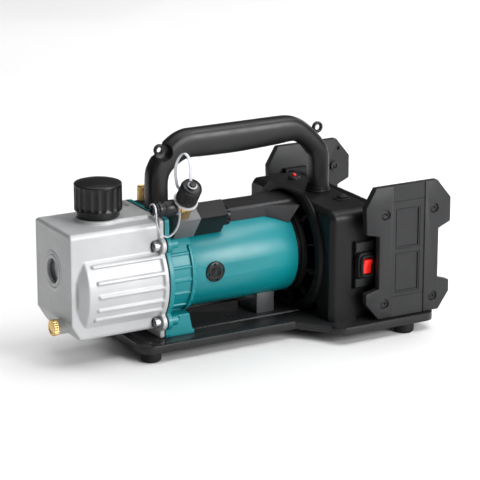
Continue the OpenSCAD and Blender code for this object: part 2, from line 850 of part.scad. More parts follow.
// The housing's walls step inwards behind waist_d; on the near side they also hold the switch pocket.
// A low hood continues the intake ring over the housing's top and fades into it.
module rear_housing() {
    wall = 3;
    hood_rear = 279;
    pocket_y = -housing_half + 2;
    rib_half = boot_w / 2;
    color("#232426") difference() {
        union() {
            difference() {
                along_x(rear_front, rear_back) housing_outline(0);
                along_x(rear_front + wall, rear_back + eps) housing_outline(wall);
            }
            for (side = [0, 1]) mirror([0, side, 0])
                block([waist_d - 9, rear_back], [-housing_half + 1, -housing_waist + wall], [plate_top, 121]);
            intersection() {
                cone_x(hood_r, housing_top - axis_z, rear_front, hood_rear, 0, axis_z);
                block([rear_front, hood_rear], [-hood_r, hood_r], [housing_top - wall, axis_z + hood_r]);
            }
            translate([back(297), 50, housing_top - eps]) cylinder(r1 = 6.8, r2 = 4.6, h = eps + 3);
            translate([back(299), button_y, housing_top - eps]) cylinder(r1 = 8.6, r2 = 7.6, h = eps + 1.2);
        }
        cone_x(intake_r, housing_top - axis_z - wall, rear_front - eps, hood_rear, 0, axis_z);
        difference() {
            union() {
                for (side = [0, 1]) mirror([0, side, 0])
                    block([waist_d, rear_back + eps], [-housing_half - eps, -housing_waist], [plate_top - eps, 122]);
                block([285, waist_d + eps], [-housing_half - eps, pocket_y], [50, 99.5]);
            }
            block([switch_d - rib_half, switch_d + rib_half], [-housing_half, -housing_waist + eps], [50.5, 96.5]);
        }
        block([switch_d - boot_w / 2 - fit, switch_d + boot_w / 2 + fit], [-housing_half - eps, -housing_half + 8],
            [switch_z - boot_h / 2 - fit, switch_z + boot_h / 2 + fit]);
        for (d = [312.4, 314.8])
            block([d, d + 1.2], [-housing_half + 14, housing_half - 14], [housing_top - 1, housing_top + eps]);
        translate([back(297), 50, housing_top - 6]) cylinder(r = 2.25, h = 12);
        translate([back(299), button_y, housing_top - 6]) cylinder(r = 5 + gap, h = 12);
    }
}

module rear_panel() {
    color("#1e1f21") difference() {
        along_x(rear_back, rear_back + panel_t) housing_outline(0);
        for (z = [24 : 4 : 36])
            block([rear_back - eps, rear_back + panel_t + eps], [-30, 30], [z, z + 2]);
    }
}

module battery_docks() {
    front = rear_back + panel_t;
    dock_half = 31;
    color("#2d2e31") for (side = [-1, 1]) translate([0, side * 40, 0]) {
        block([front, front + 3], [-dock_half, dock_half], [40, 122]);
        for (edge = [-1, 1]) {
            block([front + 2, front + 9], [edge * (dock_half - 2) - 2, edge * (dock_half - 2) + 2], [46, 122]);
            block([front + 7, front + 9], [edge * (dock_half - 4) - 4, edge * (dock_half - 4) + 4], [46, 122]);
        }
        block([front + 2, front + 8], [-16, 16], [92, 114]);
    }
}

module battery_contacts() {
    front = rear_back + panel_t + 8;
    color("#c9b37a") for (side = [-1, 1], y = [-11, -3.5, 3.5, 11])
        block([front, front + 3.5], [side * 40 + y - 0.5, side * 40 + y + 0.5], [95, 111]);
}

module control_board() {
    color("#1f6b3a") {
        block([303, 304.6], [-48, 72], [26, 121]);
        for (y = [-30, 0, 30]) rod_x(8, 304.5, 314, y, 50);
        block([304.5, 312], [-40, 60], [82, 108]);
        block([296, 303.1], [10, 50], [40, 70]);
    }
}

module switch_body() {
    rear_y = -housing_half + 22;
    color("#2a2b2d") difference() {
        union() {
            block([switch_d - 10, switch_d + 10], [-housing_half + 3, rear_y], [switch_z - 13, switch_z + 13]);
            block([switch_d - 8, switch_d + 8], [rear_y - eps, rear_y + 5], [switch_z - 10, switch_z + 10]);
        }
        switch_window(-housing_half, -housing_half + 5);
    }
}

// The opening that the rocker sits in
module switch_window(y0, y1) {
    block([switch_d - window_w / 2, switch_d + window_w / 2], [y0, y1],
        [switch_z - window_h / 2, switch_z + window_h / 2]);
}

// The rubber boot: a square foot in the housing wall and a stepped, eight-sided collar around the rocker
module switch_boot() {
    face_y = -housing_half - 6.6;
    step_y = -housing_half - 3.6;
    color("#151515") difference() {
        union() {
            block([switch_d - boot_w / 2, switch_d + boot_w / 2], [-housing_half - 0.6, -housing_half + 3],
                [switch_z - boot_h / 2, switch_z + boot_h / 2]);
            boot_collar(0.4, step_y, -housing_half);
            boot_collar(2.4, face_y, step_y + eps);
        }
        switch_window(face_y - eps, -housing_half + 4);
    }
}

module boot_collar(inset, y0, y1) {
    half_w = boot_w / 2 - inset;
    half_h = boot_h / 2 - inset;
    cut = 4;
    slab_y([
        [switch_d - half_w + cut, switch_z - half_h], [switch_d + half_w - cut, switch_z - half_h],
        [switch_d + half_w, switch_z - half_h + cut], [switch_d + half_w, switch_z + half_h - cut],
        [switch_d + half_w - cut, switch_z + half_h], [switch_d - half_w + cut, switch_z + half_h],
        [switch_d - half_w, switch_z + half_h - cut], [switch_d - half_w, switch_z - half_h + cut]
    ], y0, y1);
}

module rocker_switch() {
    half_w = 4.9;
    rest_lean = 10;
    pivot_y = -housing_half - 1;
    color("#d8281e") translate([back(switch_d) - half_w, pivot_y, switch_z]) rotate([rest_lean, 0, 0])
        rotate([90, 0, 90]) linear_extrude(2 * half_w) polygon([
            [1.5, -7], [1.5, 7], [-5.1, 7.4], [-3.9, 0], [-5.1, -7.4]
        ]);
}

module led_lens() {
    color("#c81414") translate([back(297), 50, 0]) {
        translate([0, 0, housing_top - 4]) cylinder(r = 2.2, h = 7.5);
        translate([0, 0, housing_top + 3.5]) sphere(2.2);
    }
}

module reset_button() {
    color("#161616") translate([back(299), button_y, 0]) {
        translate([0, 0, housing_top - 6.5]) cylinder(r = 6.5, h = 1.5);
        translate([0, 0, housing_top - 6]) cylinder(r = 5, h = 8.6);
        intersection() {
            translate([0, 0, housing_top + 2.5]) cylinder(r = 5, h = 5);
            translate([0, 0, housing_top - 1.5]) sphere(6.4);
        }
    }
}

// ---- handle ----

module handle_outline() {
    polygon([
        [back(handle_left[0]), flange_top], [back(handle_left[0]), 170], [back(106), 184],
        [back(119), 200], [back(131.5), 209.5], [back(144), handle_top],
        [back(257), handle_top], [back(268.5), 210.5], [back(280), 203.5], [back(292), 192.5],
        [back(302), 180.5], [back(handle_right[1]), 169], [back(handle_right[1]), housing_top + 5],
        [back(handle_right[0]), housing_top + 5], [back(handle_right[0]), 170.5], [back(277), 180.5],
        [back(266), 187], [back(230), 184], [back(190), 183], [back(150), 183.5], [back(142), 181.5],
        [back(handle_left[1]), 168.5], [back(handle_left[1]), flange_top]
    ]);
}

eyelet_front = [115.3, 195.1];
eyelet_rear = [294, 196.5];
eyelet_bore = 2.8;
eyelet_r = 6;
eyelet_half_t = 2;

// The grip; bowls on both sides of its front bend leave a thin web that carries the front strap ring
module handle() {
    half = handle_depth / 2;
    bowl_r = 8.8;
    color("#222325") difference() {
        union() {
            difference() {
                translate([0, half, 0]) rotate([90, 0, 0]) linear_extrude(handle_depth) handle_outline();
                for (side = [0, 1]) mirror([0, side, 0])
                    rod_y(bowl_r, eyelet_front[0], eyelet_front[1], eyelet_half_t, half + eps);
            }
            for (p = [eyelet_front, eyelet_rear]) rod_y(eyelet_r, p[0], p[1], -eyelet_half_t, eyelet_half_t);
        }
        rod_y(eyelet_bore, eyelet_front[0], eyelet_front[1], -half - eps, half + eps);
        rod_y(eyelet_bore, eyelet_rear[0], eyelet_rear[1], -half - eps, half + eps);
    }
}

module handle_brackets() {
    color("#3c3e41") {
        difference() {
            union() {
                block([104.3, 112.8], [-20, 20], [115, flange_top]);
                block([112.8, 124], [-13, 13], [115, flange_top]);
            }
            rod_x(barrel_r + fit, 100, 128, 0, axis_z);
        }
        translate([back((handle_right[0] + handle_right[1]) / 2), 0, housing_top])
            cylinder(r1 = 12.4, r2 = 11.9, h = 5);
    }
}

// ---- guards ----

guard_points = [
    [302.2, 154.7], [373.9, 154.7], [390, 135], [390, 110.2], [376.3, 104.4], [376.3, 53],
    [390, 48.9], [390, 37], [377.6, 19.5], [306.9, 19.5], [292, 37], [292, 47.5], [307, 50.8],
    [307, 105], [292, 108.6], [290.6, 135.4]
];

boss_end = guard_y - guard_t - 3;

module guard(side) {
    outer = guard_y;
    inner = guard_y - guard_t;
    recess = 1;
    pocket = 2.4;
    low = min(side * inner, side * outer);
    high = max(side * inner, side * outer);
    panel = [322.5, 359.3];
    color("#404245") difference() {
        union() {
            slab_y(guard_points, low, high);
            rod_y(5, guard_screws[1][0], guard_screws[1][1], min(side * boss_end, side * (inner + 1)),
                max(side * boss_end, side * (inner + 1)));
        }
        mirror([0, side < 0 ? 0 : 1, 0]) {
            block([panel[0], panel[1]], [-outer - eps, -outer + recess], [0, 200]);
            block([328.2, 353], [-outer - eps, -outer + pocket], [91.5, 129]);
            block([328.2, 353], [-outer - eps, -outer + pocket], [45.6, 82.5]);
            for (p = guard_screws) {
                rod_y(2.2, p[0], p[1], -outer - eps, -boss_end + eps);
                rod_y(4.8, p[0], p[1], -outer - eps, -outer + 3);
            }
        }
    }
}

module guard_near() {
    guard(-1);
}

module guard_far() {
    guard(1);
}

// Brackets between the guards and the housing, with a foot on the base plate
module guard_frames() {
    inner = guard_y - guard_t;
    color("#1e1f21") for (side = [0, 1]) mirror([0, side, 0]) difference() {
        union() {
            slab_y([
                [308, plate_top], [376, plate_top], [376, 46], [334, 46], [334, 131], [308, 131], [308, 106],
                [312, 104], [312, 52], [308, 50]
            ], -inner, -frame_inner);
            for (z = [30, 116.6]) rod_y(4.6, 311.6, z, -frame_inner - 1, -housing_waist);
        }
        block([318, 327], [-inner - eps, -frame_inner + eps], [52, 116]);
        for (p = guard_screws) rod_y(2 + fit, p[0], p[1], -inner - eps, -frame_inner + eps);
    }
}

// The upper rear screws only reach into the bosses on the guards
module guard_screws_set() {
    seat_y = guard_y - 3;
    color("#8d9093") for (side = [0, 1], p = guard_screws) mirror([0, side, 0]) difference() {
        union() {
            rod_y(4.4, p[0], p[1], -seat_y - 2, -seat_y);
            rod_y(2, p[0], p[1], -seat_y - 1, p == guard_screws[1] ? -boss_end - 0.4 : -frame_inner - 0.5);
        }
        translate([back(p[0]), -seat_y - 0.8, p[1]]) rotate([90, 0, 0]) cylinder(r = 1.8, h = 4, $fn = 6);
    }
}

base_plate();
rubber_feet();
foot_screws();
oil_tank();
tank_gasket();
flange_bolts();
sight_glass();
sight_glass_ring();
drain_plug();
seal_rings();
filler_cap();
pump_housing();
high_stage_stator();
low_stage_stator();
pump_end_cover();
pump_shaft();
stage_rotors();
pump_vanes();
exhaust_valve();
shaft_coupling();
motor_tube();
motor_stator();
motor_windings();
motor_shaft();
rotor_core();
rotor_magnets();
motor_bearings();
motor_end_cap();
cooling_fan();
motor_cradle();
vent_caps();
valve_block();
solenoid_coil();
solenoid_nut();
valve_plunger();
brass_manifold();
large_port_cap();
small_port_cap();
large_cap_tether();
small_cap_tether();
gas_ballast_body();
gas_ballast_knob();
duct_cover();
intake_shroud();
rear_housing();
rear_panel();
battery_docks();
battery_contacts();
control_board();
switch_body();
switch_boot();
rocker_switch();
led_lens();
reset_button();
handle();
handle_brackets();
guard_near();
guard_far();
guard_frames();
guard_screws_set();  // guard_screws
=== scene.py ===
import math

import bmesh
import bpy
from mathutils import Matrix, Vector


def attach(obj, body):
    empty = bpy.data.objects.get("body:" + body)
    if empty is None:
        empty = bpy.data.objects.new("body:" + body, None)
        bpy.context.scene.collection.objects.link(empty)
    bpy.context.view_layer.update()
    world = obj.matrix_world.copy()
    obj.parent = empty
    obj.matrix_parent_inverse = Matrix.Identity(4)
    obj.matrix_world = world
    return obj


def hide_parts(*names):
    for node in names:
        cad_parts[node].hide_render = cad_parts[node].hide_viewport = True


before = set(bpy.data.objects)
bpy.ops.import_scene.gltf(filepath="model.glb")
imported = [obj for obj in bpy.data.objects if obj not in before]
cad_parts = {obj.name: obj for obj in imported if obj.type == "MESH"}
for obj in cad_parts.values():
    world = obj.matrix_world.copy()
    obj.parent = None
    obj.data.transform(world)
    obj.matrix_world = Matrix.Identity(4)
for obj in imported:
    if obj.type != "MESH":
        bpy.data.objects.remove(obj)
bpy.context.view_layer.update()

# ---- places: d is millimetres behind the tank's front face, y across and z up ----

FRONT_X = -189.5
AXIS_Z = 78.0
VALVE_TILT = math.radians(37)
VALVE_Y, VALVE_Z = -31.3, 128.1
LARGE_PORT_D = 116
FILLER_D = 48.9
VENT_D = 152.9
SWITCH_D, SWITCH_Z = 301, 73
FRONT_EYELET = (115.3, 195.1)
REAR_EYELET = (294, 196.5)


def at(d, y, z):
    return Vector(((FRONT_X + d) / 1000, y / 1000, z / 1000))


def lean(d, v, u):
    """A point of the leaning valve group: v across the block and u up the large port."""
    c, s = math.cos(VALVE_TILT), math.sin(VALVE_TILT)
    return at(d, VALVE_Y + v * c - u * s, VALVE_Z + v * s + u * c)


# ---- materials ----


class Nodes:
    """A material's node tree, with short ways to add nodes and to join them."""

    def __init__(self, name):
        self.material = bpy.data.materials.new(name)
        self.material.use_nodes = True
        self.tree = self.material.node_tree
        self.shader = self.tree.nodes["Principled BSDF"]
        self.coords = self.tree.nodes.new("ShaderNodeTexCoord").outputs["Object"]

    def add(self, kind, inputs=(), **settings):
        node = self.tree.nodes.new(kind)
        for key, value in settings.items():
            setattr(node, key, value)
        for key, value in dict(inputs).items():
            if isinstance(value, bpy.types.NodeSocket):
                self.tree.links.new(value, node.inputs[key])
            else:
                node.inputs[key].default_value = value
        return node

    def noise(self, scale, detail=3.0, rough=0.5, stretch=None):
        coords = self.coords
        if stretch:
            coords = self.add("ShaderNodeMapping", {"Vector": coords, "Scale": stretch}).outputs[0]
        return self.add(
            "ShaderNodeTexNoise", {"Vector": coords, "Scale": scale, "Detail": detail, "Roughness": rough}
        ).outputs["Fac"]

    def spread(self, value, low, high, start=0.3, end=0.7):
        return self.add(
            "ShaderNodeMapRange",
            {"Value": value, "From Min": start, "From Max": end, "To Min": low, "To Max": high},
        ).outputs["Result"]

    def tint(self, value, dark, light, start=0.3, end=0.7):
        ramp = self.add("ShaderNodeValToRGB", {"Fac": value})
        ramp.color_ramp.elements[0].position = start
        ramp.color_ramp.elements[0].color = (*dark, 1)
        ramp.color_ramp.elements[1].position = end
        ramp.color_ramp.elements[1].color = (*light, 1)
        return ramp.outputs["Color"]

    def bump(self, height, distance, strength=1.0, normal=None):
        inputs = {"Height": height, "Distance": distance, "Strength": strength}
        if normal:
            inputs["Normal"] = normal
        return self.add("ShaderNodeBump", inputs).outputs["Normal"]

    def feed(self, socket, value):
        if isinstance(value, bpy.types.NodeSocket):
            self.tree.links.new(value, self.shader.inputs[socket])
        else:
            self.shader.inputs[socket].default_value = value


SOCKET_NAMES = {"Specular_IOR_Level": "Specular IOR Level"}


def shade(colour, factor):
    return tuple(min(c * factor, 1.0) for c in colour)


def moulded(name, colour, rough=0.45, grain=0.00006, grain_scale=1400, spread=0.12, **sockets):
    """Moulded plastic or rubber: a fine spark-eroded grain, slightly uneven gloss and colour."""
    n = Nodes(name)
    broad = n.noise(28, 4)
    n.feed("Base Color", n.tint(broad, shade(colour, 1 - spread), shade(colour, 1 + spread)))
    fine = n.noise(grain_scale, 2, 0.6)
    n.feed("Roughness", n.spread(n.noise(60, 5), rough - 0.05, rough + 0.06))
    n.feed("Normal", n.bump(fine, grain))
    for socket, value in sockets.items():
        n.feed(SOCKET_NAMES.get(socket, socket.replace("_", " ")), value)
    return n.material


def painted(name, colour, rough=0.35, orange_peel=0.00004, scale=320, spread=0.06, **sockets):
    """Paint or powder coat over metal, with a faint orange peel."""
    n = Nodes(name)
    n.feed("Base Color", n.tint(n.noise(14, 3), shade(colour, 1 - spread), shade(colour, 1 + spread)))
    n.feed("Roughness", n.spread(n.noise(45, 5), rough - 0.04, rough + 0.05))
    n.feed("Normal", n.bump(n.noise(scale, 3), orange_peel))
    for socket, value in sockets.items():
        n.feed(SOCKET_NAMES.get(socket, socket.replace("_", " ")), value)
    return n.material


def cast(name, colour, metal=0.75, rough=0.42):
    """Sand-cast aluminium: pebbled skin, soft clouds of tone."""
    n = Nodes(name)
    n.feed("Base Color", n.tint(n.noise(35, 5), shade(colour, 0.93), shade(colour, 1.05)))
    n.feed("Metallic", metal)
    n.feed("Roughness", n.spread(n.noise(240, 4), rough - 0.06, rough + 0.08))
    skin = n.bump(n.noise(900, 4, 0.65), 0.00012)
    n.feed("Normal", n.bump(n.noise(60, 2), 0.0003, 0.5, skin))
    return n.material


def metal(name, colour, rough=0.28, turned=(1, 1, 1), scale=700):
    """Turned, ground or plated metal; turned stretches the tool marks along one axis."""
    n = Nodes(name)
    n.feed("Base Color", n.tint(n.noise(90, 4), shade(colour, 0.9), shade(colour, 1.06)))
    n.feed("Metallic", 1.0)
    marks = n.noise(scale, 3, 0.6, turned)
    n.feed("Roughness", n.spread(marks, rough - 0.07, rough + 0.1))
    n.feed("Normal", n.bump(marks, 0.00003))
    return n.material


TEAL = (0.0, 0.19, 0.214)
BLACK = (0.0055, 0.0055, 0.0058)
GREY = (0.0145, 0.015, 0.016)
DULL = {"Specular_IOR_Level": 0.22}
SATIN = {"Specular_IOR_Level": 0.35}

mats = {
    "cast_silver": cast("cast_silver", (0.46, 0.465, 0.473), 0.15, 0.4),
    "zinc": metal("zinc", (0.5, 0.51, 0.525), 0.3),
    "dark_screw": metal("dark_screw", (0.035, 0.035, 0.037), 0.38),
    "steel": metal("steel", (0.6, 0.61, 0.63), 0.2),
    "iron": metal("iron", (0.3, 0.31, 0.32), 0.4),
    "copper": metal("copper", (0.7, 0.28, 0.12), 0.35),
    "brass": metal("brass", (0.75, 0.5, 0.2), 0.27),
    "gold_contact": metal("gold_contact", (0.8, 0.62, 0.3), 0.25),
    "teal_paint": painted("teal_paint", TEAL, 0.36),
    "teal_cast": painted("teal_cast", TEAL, 0.4, 0.00015, 420),
    "valve_paint": painted("valve_paint", (0.1, 0.103, 0.107), 0.45, 0.00008, 500),
    "dark_green": painted("dark_green", (0.006, 0.05, 0.042), 0.5),
    "black_shell": moulded("black_shell", BLACK, 0.42, 0.00008, 900, **DULL),
    "black_smooth": moulded("black_smooth", BLACK, 0.2, 0.00004, **DULL),
    "black_grip": moulded("black_grip", (0.0085, 0.0085, 0.009), 0.36, 0.00005, 1800, **SATIN),
    "black_cap": moulded("black_cap", (0.0075, 0.0075, 0.008), 0.33, 0.00007, 1200, **SATIN),
    "black_plate": moulded("black_plate", (0.016, 0.016, 0.0168), 0.3, 0.00004, Specular_IOR_Level=0.3),
    "vent_black": moulded("vent_black", (0.008, 0.008, 0.0083), 0.3, 0.00002, **SATIN),
    "black_matt": moulded("black_matt", (0.008, 0.008, 0.0083), 0.5, 0.00008, 900, Specular_IOR_Level=0.12),
    "rubber": moulded("rubber", (0.006, 0.006, 0.006), 0.6, 0.00008, 700, **DULL),
    "grey_guard": moulded("grey_guard", GREY, 0.48, 0.0001, 1000, **SATIN),
    "grey_duct": moulded("grey_duct", (0.019, 0.0194, 0.0207), 0.34, 0.00006, 1100, **SATIN),
    "grey_cradle": moulded("grey_cradle", (0.05, 0.051, 0.054), 0.45),
    "red_switch": moulded("red_switch", (0.75, 0.015, 0.01), 0.18, 0.00001),
    "red_lens": moulded("red_lens", (0.55, 0.01, 0.01), 0.12, 0.00001),
    "clear_strap": moulded(
        "clear_strap", (0.7, 0.72, 0.75), 0.3, 0.00003, 800, 0.05, Transmission_Weight=0.35, IOR=1.45
    ),
    "glass": moulded(
        "glass", (0.55, 0.6, 0.62), 0.09, 0.000005, 200, 0.04, Transmission_Weight=0.9, IOR=1.5
    ),
    "board": moulded("board", (0.01, 0.09, 0.035), 0.4),
    "composite": moulded("composite", (0.12, 0.07, 0.04), 0.6),
}

# ---- CAD nodes: material and the radius that breaks their edges, in mm ----

NODE_LOOKS = {
    "base_plate": ("black_plate", 1.8),
    "rubber_feet": ("rubber", 0.6),
    "foot_screws": ("zinc", 0.3),
    "oil_tank": ("cast_silver", 0.9),
    "tank_gasket": ("rubber", 0),
    "flange_bolts": ("zinc", 0.4),
    "sight_glass": ("glass", 0.3),
    "sight_glass_ring": ("cast_silver", 0.5),
    "drain_plug": ("brass", 0.35),
    "seal_rings": ("rubber", 0),
    "filler_cap": ("black_cap", 0.4),
    "pump_housing": ("teal_cast", 0.7),
    "high_stage_stator": ("iron", 0),
    "low_stage_stator": ("iron", 0),
    "pump_end_cover": ("iron", 0),
    "pump_shaft": ("steel", 0),
    "stage_rotors": ("iron", 0),
    "pump_vanes": ("composite", 0),
    "exhaust_valve": ("steel", 0),
    "shaft_coupling": ("steel", 0),
    "motor_tube": ("teal_paint", 0.5),
    "motor_stator": ("iron", 0),
    "motor_windings": ("copper", 0),
    "motor_shaft": ("steel", 0),
    "rotor_core": ("iron", 0),
    "rotor_magnets": ("dark_screw", 0),
    "motor_bearings": ("steel", 0),
    "motor_end_cap": ("black_smooth", 0.8),
    "cooling_fan": ("black_smooth", 0.3),
    "motor_cradle": ("grey_cradle", 0.6),
    "vent_caps": ("vent_black", 0.4),
    "valve_block": ("valve_paint", 0.5),
    "solenoid_coil": ("black_smooth", 0.35),
    "solenoid_nut": ("black_smooth", 0.3),
    "valve_plunger": ("steel", 0),
    "brass_manifold": ("brass", 0.4),
    "large_port_cap": ("black_cap", 0.3),
    "small_port_cap": ("black_cap", 0.3),
    "large_cap_tether": ("clear_strap", 0),
    "small_cap_tether": ("clear_strap", 0),
    "gas_ballast_body": ("dark_green", 0.5),
    "gas_ballast_knob": ("brass", 0.3),
    "duct_cover": ("grey_duct", 0.5),
    "intake_shroud": ("black_matt", 0.5),
    "rear_housing": ("black_shell", 0.8),
    "rear_panel": ("black_shell", 0.5),
    "battery_docks": ("black_smooth", 0.5),
    "battery_contacts": ("gold_contact", 0.1),
    "control_board": ("board", 0.3),
    "switch_body": ("black_smooth", 0.3),
    "switch_boot": ("rubber", 0.7),
    "rocker_switch": ("red_switch", 0.8),
    "led_lens": ("red_lens", 0.3),
    "reset_button": ("rubber", 0.3),
    "handle": ("black_grip", 2),
    "handle_brackets": ("grey_duct", 0.6),
    "guard_near": ("grey_guard", 0.9),
    "guard_far": ("grey_guard", 0.9),
    "guard_frames": ("black_shell", 0.6),
    "guard_screws": ("dark_screw", 0.3),
}


CAST_NODES = {"oil_tank": (0.8, 5), "pump_housing": (0.6, 1)}


def melt(o, voxel, passes):
    """Gives a casting its soft edges and inner corners."""
    skin = o.modifiers.new("skin", "REMESH")
    skin.mode = "VOXEL"
    skin.voxel_size = voxel / 1000
    skin.use_smooth_shade = True
    flow = o.modifiers.new("flow", "SMOOTH")
    flow.factor = 0.5
    flow.iterations = passes


def soften(o, width, segments=2):
    """Breaks the edges: flat facets are first joined to whole faces, so that the bevel runs clean."""
    weld = o.modifiers.new("weld", "WELD")
    weld.merge_threshold = 2e-6
    if o.name in CAST_NODES:
        melt(o, *CAST_NODES[o.name])
        return
    if width:
        flats = o.modifiers.new("flats", "DECIMATE")
        flats.decimate_type = "DISSOLVE"
        flats.angle_limit = math.radians(0.4)
        edge = o.modifiers.new("edge", "BEVEL")
        edge.width = width / 1000
        edge.segments = segments
        edge.limit_method = "ANGLE"
        edge.angle_limit = math.radians(32)
        edge.use_clamp_overlap = True
        edge.harden_normals = False
        edge.miter_outer = "MITER_ARC"
    smooth = o.modifiers.new("smooth", "NODES")
    smooth.node_group = smooth_group


def make_smooth_group(angle):
    """Shades faces smooth, and keeps the edges sharper than angle as creases."""
    g = bpy.data.node_groups.new("smooth_by_angle", "GeometryNodeTree")
    g.interface.new_socket("Geometry", in_out="INPUT", socket_type="NodeSocketGeometry")
    g.interface.new_socket("Geometry", in_out="OUTPUT", socket_type="NodeSocketGeometry")
    start, end = g.nodes.new("NodeGroupInput"), g.nodes.new("NodeGroupOutput")
    faces, edges = (g.nodes.new("GeometryNodeSetShadeSmooth") for _ in range(2))
    faces.domain, edges.domain = "FACE", "EDGE"
    found = g.nodes.new("GeometryNodeInputMeshEdgeAngle")
    blunt = g.nodes.new("FunctionNodeCompare")
    blunt.operation = "LESS_EQUAL"
    blunt.inputs[1].default_value = angle
    g.links.new(found.outputs["Unsigned Angle"], blunt.inputs[0])
    g.links.new(start.outputs[0], faces.inputs["Geometry"])
    g.links.new(faces.outputs[0], edges.inputs["Geometry"])
    g.links.new(blunt.outputs[0], edges.inputs["Shade Smooth"])
    g.links.new(edges.outputs[0], end.inputs[0])
    return g


smooth_group = make_smooth_group(math.radians(34))

for node_name, (look, width) in NODE_LOOKS.items():
    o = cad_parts[node_name]
    o.data.materials.clear()
    o.data.materials.append(mats[look])
    if "custom_normal" in o.data.attributes:
        o.data.attributes.remove(o.data.attributes["custom_normal"])
    soften(o, width)

# ---- new pieces ----


def new_mesh(name, verts, faces):
    mesh = bpy.data.meshes.new(name)
    mesh.from_pydata([tuple(v) for v in verts], [], faces)
    mesh.validate()
    o = bpy.data.objects.new(name, mesh)
    bpy.context.scene.collection.objects.link(o)
    return o


def finish_piece(o, look, body, node):
    """A new piece takes its material, stands for its CAD node and moves with the body."""
    o.data.materials.append(mats[look])
    bm = bmesh.new()
    bm.from_mesh(o.data)
    bmesh.ops.remove_doubles(bm, verts=bm.verts, dist=1e-6)
    bmesh.ops.recalc_face_normals(bm, faces=bm.faces)
    bm.to_mesh(o.data)
    bm.free()
    o.modifiers.new("smooth", "NODES").node_group = smooth_group
    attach(o, body)
    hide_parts(node)
    return o


def loft(rings, loop=False):
    """Vertices and faces of a skin over rings with the same number of points, capped unless it loops."""
    count, verts, faces = len(rings[0]), [], []
    for ring in rings:
        verts += ring
    last = len(rings) if loop else len(rings) - 1
    for i in range(last):
        a, b = i * count, (i + 1) % len(rings) * count
        for j in range(count):
            k = (j + 1) % count
            faces.append((a + j, a + k, b + k, b + j))
    if not loop:
        faces.append(tuple(reversed(range(count))))
        faces.append(tuple(range(len(verts) - count, len(verts))))
    return verts, faces


def merge_shapes(*shapes):
    verts, faces = [], []
    for v, f in shapes:
        base = len(verts)
        verts += v
        faces += [tuple(i + base for i in face) for face in f]
    return verts, faces


def smooth_line(points, per_span=8):
    """A Catmull-Rom line through points, which may be of any dimension."""
    pts = [Vector(p) for p in points]
    pts = [2 * pts[0] - pts[1], *pts, 2 * pts[-1] - pts[-2]]
    out = []
    for i in range(1, len(pts) - 2):
        p0, p1, p2, p3 = pts[i - 1 : i + 3]
        for k in range(per_span):
            t = k / per_span
            out.append(
                0.5 * (2 * p1 + (p2 - p0) * t + (2 * p0 - 5 * p1 + 4 * p2 - p3) * t**2
                       + (3 * p1 - p0 - 3 * p2 + p3) * t**3)
            )
    return [*out, pts[-2]]


def superellipse(count, power):
    out = []
    for i in range(count):
        a = 2 * math.pi * i / count
        c, s = math.cos(a), math.sin(a)
        out.append((math.copysign(abs(c) ** (2 / power), c), math.copysign(abs(s) ** (2 / power), s)))
    return out


def turned(profile, place, count=96, flute=None):
    """A lathe shape. profile is (radius, height) in mm; place maps (x, y, h) in mm to the row frame."""
    rings = []
    for r, h in profile:
        ring = []
        for i in range(count):
            a = 2 * math.pi * i / count
            radius = r - (flute(a, r, h) if flute else 0)
            ring.append(place(radius * math.cos(a), radius * math.sin(a), h))
        rings.append(ring)
    return loft(rings)


def handle_shape():
    # pairs of points on the outer and inner edge, d and z, from the front foot to the rear one
    pairs = [
        ((100.9, 138), (122.4, 138)), ((100.9, 152), (122.4, 152)), ((100.9, 165), (122.4, 163)),
        ((102.2, 176), (123.9, 169.5)), ((106.4, 185), (127.4, 174.3)), ((112.4, 192.8), (131.8, 178)),
        ((119, 200), (136.6, 181)), ((125.8, 205.6), (141.5, 183)), ((133.4, 210), (147, 184)),
        ((142.5, 212.6), (153.5, 184)), ((153, 213), (161, 183.6)), ((200, 213), (200, 183.2)),
        ((246, 213), (247, 185.4)), ((258, 212.6), (257.5, 186.4)), ((267, 210.6), (264.5, 186.2)),
        ((275, 206.8), (269.8, 184)), ((283.5, 200.2), (274.6, 180.6)), ((291.5, 192.5), (279, 176)),
        ((298.6, 184.2), (282.6, 170.6)), ((303.4, 175.6), (284.5, 163)), ((305.4, 165.5), (284.9, 154)),
        ((305.5, 150), (284.9, 146)), ((305.5, 136), (284.9, 136)),
    ]
    line = smooth_line([(*a, *b) for a, b in [(tuple(p), tuple(q)) for p, q in pairs]], 5)
    section = superellipse(40, 2.7)
    rings = []
    for od, oz, i_d, iz in line:
        mid_d, mid_z = (od + i_d) / 2, (oz + iz) / 2
        half_d, half_z = (od - i_d) / 2, (oz - iz) / 2
        rings.append([at(mid_d + half_d * s, 10.5 * c, mid_z + half_z * s) for c, s in section])
    return loft(rings)


def eyelet(centre_d, centre_z):
    """A moulded strap ring in the plane of the handle."""
    mid, half_r, half_y = 4.4, 1.6, 2.0
    section = superellipse(14, 2.4)
    rings = []
    for i in range(40):
        a = 2 * math.pi * i / 40
        reach = [(mid + half_r * c, half_y * s) for c, s in section]
        rings.append([at(centre_d + r * math.cos(a), y, centre_z + r * math.sin(a)) for r, y in reach])
    return loft(rings, loop=True)


def upright(centre_d, centre_y):
    return lambda x, y, h: at(centre_d + x, centre_y + y, h)


def on_port(centre_d):
    return lambda x, y, h: lean(centre_d + x, y, h)


def crosswise(d, z, side):
    return lambda x, y, h: at(d + x, side * h, z + y)


def round_motor(x, y, h):
    return at(h, x, AXIS_Z + y)


def along_port(x, y, h):
    return lean(h, 1 + x, 27 + y)


def ramp(value, low, high, soft):
    """1 between low and high, and falling smoothly to 0 within soft of each."""
    t = max(0.0, min(1.0, (value - low) / soft, (high - value) / soft))
    return t * t * (3 - 2 * t)


def flutes(count, depth, low, high, power, soft=1.2):
    """How far the flutes of a cap cut in, for turned."""

    def cut(a, r, h):
        return depth * ramp(h, low, high, soft) * abs(math.sin(count * a / 2)) ** power if r > 3 else 0

    return cut


